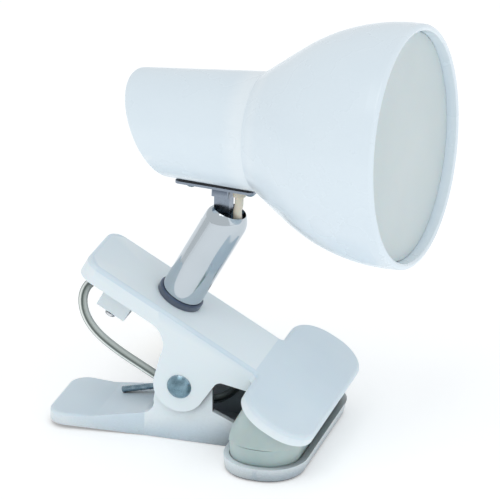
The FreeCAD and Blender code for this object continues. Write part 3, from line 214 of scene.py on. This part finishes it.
blue_metal = material("blue_metal", (0.025, 0.032, 0.05), (0.13, 0.16, 0.21), (0.18, 0.36),
                      patch=190, grain=1500, bump=0.15, wear=(0.26, 0.30, 0.36), Metallic=1.0)
steel = material("steel", (0.36, 0.38, 0.41), (0.55, 0.57, 0.60), (0.25, 0.45), patch=220,
                 grain=2400, bump=0.12, wear=(0.75, 0.76, 0.78), Metallic=1.0)
wire_steel = material("wire_steel", (0.10, 0.17, 0.22), (0.34, 0.44, 0.50), (0.18, 0.34),
                      patch=300, grain=2200, bump=0.12, Metallic=1.0)
black_gloss = material("black_gloss", (0.018, 0.035, 0.07), (0.05, 0.09, 0.17), (0.14, 0.30),
                       patch=120, grain=1500, bump=0.06, wear=(0.09, 0.11, 0.15))
black_matt = material("black_matt", (0.016, 0.016, 0.018), (0.035, 0.035, 0.038), (0.42, 0.62),
                      patch=140, grain=2600, bump=0.2, wear=(0.07, 0.07, 0.075))
cream = material("cream", (0.62, 0.58, 0.47), (0.72, 0.68, 0.57), (0.35, 0.50), patch=150,
                 grain=1800, bump=0.08, Subsurface_Weight=0.1, Subsurface_Scale=0.002)
brass = material("brass", (0.55, 0.42, 0.20), (0.72, 0.57, 0.30), (0.20, 0.38), patch=240,
                 grain=1900, bump=0.12, wear=(0.85, 0.74, 0.48), Metallic=1.0)
aluminium = material("aluminium", (0.56, 0.57, 0.59), (0.70, 0.71, 0.73), (0.28, 0.45), patch=160,
                     grain=2200, bump=0.15, stretch=(1, 1, 6), Metallic=1.0)
laminate = material("laminate", (0.02, 0.10, 0.055), (0.035, 0.15, 0.085), (0.25, 0.4), patch=300,
                    grain=1500, bump=0.2)
reflecting = material("reflecting", (0.80, 0.81, 0.80), (0.86, 0.87, 0.86), (0.2, 0.32), patch=60,
                      grain=900, bump=0.05)
phosphor = material("phosphor", (0.78, 0.60, 0.16), (0.88, 0.74, 0.28), (0.35, 0.5), patch=900,
                    grain=3500, bump=0.1)
strap = material("strap", (0.62, 0.64, 0.65), (0.72, 0.74, 0.75), (0.4, 0.55), patch=200,
                 grain=1600, bump=0.15)
fibre = material("fibre", (0.03, 0.03, 0.034), (0.06, 0.06, 0.064), (0.7, 0.85), patch=500,
                 grain=2600, bump=0.4)
chrome = material("chrome", (0.50, 0.55, 0.59), (0.56, 0.61, 0.65), (0.05, 0.11), patch=25,
                  grain=900, bump=0.02, Metallic=1.0)
cord_look = cord_skin()

LOOKS = {
    arm_white: ("lower_arm", "upper_arm", "cord_grip"),
    grip_soft: ("lower_pad", "upper_pad"),
    zinc: ("pivot_rivet", "rivet_washer", "stem_nut", "stem_washer",
           "bracket_screws", "knuckle_nut", "hinge_fork"),
    blue_metal: ("knuckle", "bracket_plate"),
    wire_steel: ("torsion_spring",),
    steel: ("cord_grip_screws", "hinge_bolt", "hinge_nut", "hinge_washers", "nut_plate",
            "board_screws", "driver_screws", "switch_nut"),
    black_gloss: ("base_ring",),
    black_matt: ("switch_body", "switch_button", "driver_capacitor", "driver_transformer",
                 "led_leads", "plug_body"),
    fibre: ("bracket_gasket",),
    cream: ("lead_bushing", "neck_lead", "tube_lead", "head_lead"),
    cord_look: ("arm_lead", "mains_cord", "cord_coil", "plug_cord"),
    brass: ("stem_nipple", "tube_insert", "plug_pins"),
    aluminium: ("heat_sink",),
    laminate: ("led_board", "driver_board", "driver_terminal"),
    reflecting: ("reflector",),
    phosphor: ("led_chips",),
    strap: ("coil_tie",),
    enamel: ("rear_housing", "shade"),
    frosted: ("diffuser",),
    chrome: ("arm_tube",),
}
for look, names in LOOKS.items():
    for name in names:
        for place in frame["nodes"][name].material_slots:
            place.link = "OBJECT"
            place.material = look


# ---- mesh helpers ------------------------------------------------------------------------------
def piece(name, bm, look):
    """An object from a bmesh, smooth shaded."""
    bmesh.ops.recalc_face_normals(bm, faces=bm.faces)
    mesh = bpy.data.meshes.new(name)
    bm.to_mesh(mesh)
    bm.free()
    mesh.polygons.foreach_set("use_smooth", [True] * len(mesh.polygons))
    mesh.materials.append(look)
    made = bpy.data.objects.new(name, mesh)
    bpy.context.collection.objects.link(made)
    return made


def spline_line(points, steps):
    """Points read along the NURBS spline of a route, in metres."""
    curve = bpy.data.curves.new("route", "CURVE")
    curve.dimensions = "3D"
    curve.resolution_u = steps
    spline = curve.splines.new("NURBS")
    spline.points.add(len(points) - 1)
    for control, point in zip(spline.points, points):
        control.co = (*point, 1)
    spline.order_u = 3
    spline.use_endpoint_u = True
    guide = bpy.data.objects.new("route", curve)
    bpy.context.collection.objects.link(guide)
    bpy.context.view_layer.update()
    mesh = bpy.data.meshes.new_from_object(guide)
    line = [vertex.co.copy() for vertex in mesh.vertices]
    bpy.data.objects.remove(guide)
    bpy.data.meshes.remove(mesh)
    return line


def swept(name, line, section, look, side, across=None):
    """A section of (sideways, up) pairs swept along a line without twist, with closed ends.

    across is each section point's place over the cord's width, 0 to 1, for its material.
    """
    bm = bmesh.new()
    store = bm.verts.layers.float.new("across")
    rings = []
    for i, here in enumerate(line):
        ahead = (line[min(i + 1, len(line) - 1)] - line[max(i - 1, 0)]).normalized()
        side = (side - ahead * side.dot(ahead)).normalized()
        up = ahead.cross(side)
        ring = []
        for k, (a, b) in enumerate(section):
            vertex = bm.verts.new(here + side * a + up * b)
            vertex[store] = across[k] if across else 0.5
            ring.append(vertex)
        rings.append(ring)
    for one, two in zip(rings, rings[1:]):
        for k in range(len(section)):
            after = (k + 1) % len(section)
            bm.faces.new((one[k], one[after], two[after], two[k]))
    bm.faces.new(rings[0][::-1])
    bm.faces.new(rings[-1])
    return piece(name, bm, look)


# ---- cords -------------------------------------------------------------------------------------
def millimetres(points):
    """Route points of the CAD's floor frame, in the row frame."""
    return [FLOOR_SHIFT + Vector(p) * 0.001 for p in points]


grip_exit = PIN + ARM_TURN @ Vector((-0.0424, -0.0015, 0.0115))
ROUTE = [(-34.2, -1.5, 54.6), (-38.2, -4.4, 54.9), (-40.2, -7.6, 50.6), (-39.0, -9.0, 43.8),
         (-34.4, -9.2, 37.0), (-26.0, -9.0, 30.8), (-16.5, -8.9, 25.6), (-7.0, -9.0, 20.4),
         (3.0, -8.6, 15.6), (11.0, -4.6, 13.8), (15.4, 2.6, 15.0), (16.4, 10.0, 17.0),
         (16.9, 17.0, 15.6), (17.0, 22.6, 11.6), (13.8, 26.8, 7.0), (8.4, 26.6, 3.6)]
PLUG_RUN = [(21.5, 42.0, 6.2), (21.0, 36.6, 9.0), (19.2, 31.5, 12.0), (14.5, 27.4, 14.4),
            (9.0, 25.9, 15.0), (4.0, 28.0, 14.8), (0.7, 32.4, 14.8)]
COIL_CENTRE = (0.0, 48.0)
COIL_LEVELS = [(24, 2), (20, 2), (16, 2), (16, 6), (20, 6), (23.6, 6)]     # radius, height
COIL_START = -97.0              # degrees
COIL_TURNS = 5.70
POINTS_PER_TURN = 15
LEVEL_PART = 0.75               # of a turn, before it moves over to the next level
CORD_STEPS = 4                  # pieces of line between two route points
NECK_STEPS = 6


def coil_points():
    """Turns of the put-away cord, clockwise from above, stepping in and then out again."""
    found = []
    for k in range(int(COIL_TURNS * POINTS_PER_TURN) + 1):
        turn_now = k / POINTS_PER_TURN
        level = min(int(turn_now), len(COIL_LEVELS) - 1)
        after = min(level + 1, len(COIL_LEVELS) - 1)
        blend = min(max((turn_now - level - LEVEL_PART) / (1 - LEVEL_PART), 0), 1)
        radius = COIL_LEVELS[level][0] * (1 - blend) + COIL_LEVELS[after][0] * blend
        height = COIL_LEVELS[level][1] * (1 - blend) + COIL_LEVELS[after][1] * blend
        angle = math.radians(COIL_START - 360 * turn_now)
        found.append((COIL_CENTRE[0] + radius * math.cos(angle),
                      COIL_CENTRE[1] + radius * math.sin(angle), height))
    return found


cord_line = spline_line([grip_exit] + millimetres(ROUTE + coil_points() + PLUG_RUN),
                        CORD_STEPS)


TWIN_POINTS = 28
TWIN_HALF_WIDTH = 0.00198
TWIN_HALF_HEIGHT = 0.00158
WAIST_DEPTH = 0.16
WAIST_SPREAD = 0.22


def twin_section():
    """Outline of the twin cord and where each point lies across it, 0 to 1."""
    outline, across = [], []
    for k in range(TWIN_POINTS):
        angle = 2 * math.pi * k / TWIN_POINTS
        sideways = math.cos(angle)
        waist = 1 - WAIST_DEPTH * math.exp(-(sideways / WAIST_SPREAD) ** 2)
        outline.append((TWIN_HALF_WIDTH * sideways, TWIN_HALF_HEIGHT * math.sin(angle) * waist))
        across.append((sideways + 1) / 2)
    return outline, across


section, lay = twin_section()
mains = swept("mains_lead", cord_line, section, cord_look, Vector((0, 1, 0)), lay)
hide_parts("mains_cord", "cord_coil", "plug_cord")

NECK_RADIUS = 0.0016
NECK_SIDES = 16
IN_BRACKET = [(0.0066, -0.0014, 0.0164), (0.0066, -0.0014, 0.0120), (0.0066, -0.0014, 0.0090)]
IN_POST = [(0.0020, -0.0012, 0.0430), (0.0050, 0.0, 0.0380), (0.0050, 0.0, 0.0330),
           (0.0050, 0.0, 0.0260)]
neck_points = [BOLT_AT + BRACKET_TURN @ Vector(p) for p in IN_BRACKET]
neck_points += [TUBE_AT + TUBE_TURN @ Vector(p) for p in IN_POST]
neck_ring = [(NECK_RADIUS * math.cos(math.tau * k / NECK_SIDES),
              NECK_RADIUS * math.sin(math.tau * k / NECK_SIDES)) for k in range(NECK_SIDES)]
neck_line = spline_line(neck_points, NECK_STEPS)
neck_flex = swept("neck_flex", neck_line, neck_ring, cream, Vector((0, 1, 0)))
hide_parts("neck_lead")


# ---- plug --------------------------------------------------------------------------------------
PLUG_TURN = Matrix.Rotation(math.radians(127), 3, "Z")
PLUG_AT = FLOOR_SHIFT + Vector((-0.0098, 0.0464, 0.0148))
PLUG_SIDES = 40
PLUG_SQUARENESS = 0.62          # 1 would be an ellipse
# Along the plug, half width and half height, in millimetres.
PLUG_STATIONS = [(-17.5, 2.6, 2.6), (-16.6, 3.2, 3.0), (-16.0, 2.7, 2.6), (-15.2, 3.5, 3.2),
                 (-14.6, 3.0, 2.9), (-13.8, 4.2, 3.6), (-13.0, 3.8, 3.4), (-11.6, 7.0, 5.0),
                 (-8.5, 9.6, 6.2), (-4.0, 9.9, 6.4), (1.0, 9.2, 6.0), (6.0, 10.2, 6.4),
                 (11.0, 12.2, 6.8), (16.0, 12.5, 6.8), (17.2, 12.1, 6.4), (17.5, 11.4, 5.8)]


def plug_shell():
    """Moulded plug body: waisted grip, ribbed strain relief and a flat face for the pins."""
    bm = bmesh.new()
    rings = []
    for x, wide, high in PLUG_STATIONS:
        ring = []
        for k in range(PLUG_SIDES):
            angle = math.tau * k / PLUG_SIDES
            c, s = math.cos(angle), math.sin(angle)
            y = math.copysign(abs(c) ** PLUG_SQUARENESS, c) * wide
            z = math.copysign(abs(s) ** PLUG_SQUARENESS, s) * high
            ring.append(bm.verts.new(PLUG_AT + PLUG_TURN @ Vector((x, y, z)) * 0.001))
        rings.append(ring)
    for one, two in zip(rings, rings[1:]):
        for k in range(PLUG_SIDES):
            after = (k + 1) % PLUG_SIDES
            bm.faces.new((one[k], one[after], two[after], two[k]))
    bm.faces.new(rings[0][::-1])
    bm.faces.new(rings[-1])
    return piece("plug_moulding", bm, black_matt)


plug = plug_shell()
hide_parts("plug_body")
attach(plug, "lower_arm")


# ---- stage -------------------------------------------------------------------------------------
FLOOR_HALF = 6
FLOOR_DROP = 0.0002             # keeps the floor clear of the clip's underside
FLOOR_GLOW = 0.28
SKY_STRENGTH = 0.78

floor_bm = bmesh.new()
bmesh.ops.create_grid(floor_bm, x_segments=2, y_segments=2, size=FLOOR_HALF)
floor_look = material("floor", (0.86, 0.87, 0.88), (0.88, 0.885, 0.89), (0.7, 0.8), patch=3,
                      grain=200, bump=0.01, Emission_Color=(1, 1, 1, 1),
                      Emission_Strength=FLOOR_GLOW)
ground = piece("floor", floor_bm, floor_look)
ground.location.z = -FLOOR_DROP

world = bpy.data.worlds.new("studio")
world.use_nodes = True
world.node_tree.nodes["Background"].inputs["Color"].default_value = (0.97, 0.99, 1.0, 1)
world.node_tree.nodes["Background"].inputs["Strength"].default_value = SKY_STRENGTH
bpy.context.scene.view_settings.view_transform = "Standard"
bpy.context.scene.world = world


OBJECT_MIDDLE = Vector((0.0, 0.0, 0.09))


def soft_light(name, energy, size, place, colour):
    """Soft square light aimed at the middle of the reading lamp."""
    data = bpy.data.lights.new(name, "AREA")
    data.energy = energy
    data.size = size
    data.color = colour
    made = bpy.data.objects.new(name, data)
    made.location = place
    aim = OBJECT_MIDDLE - Vector(place)
    made.rotation_euler = aim.to_track_quat("-Z", "Y").to_euler()
    bpy.context.collection.objects.link(made)


soft_light("key", 5.5, 1.0, (-0.2, -0.9, 1.9), (1.0, 0.99, 0.97))
soft_light("fill", 2.5, 1.5, (1.4, -0.7, 0.8), (0.93, 0.97, 1.0))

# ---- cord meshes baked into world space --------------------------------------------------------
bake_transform(mains)
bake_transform(neck_flex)
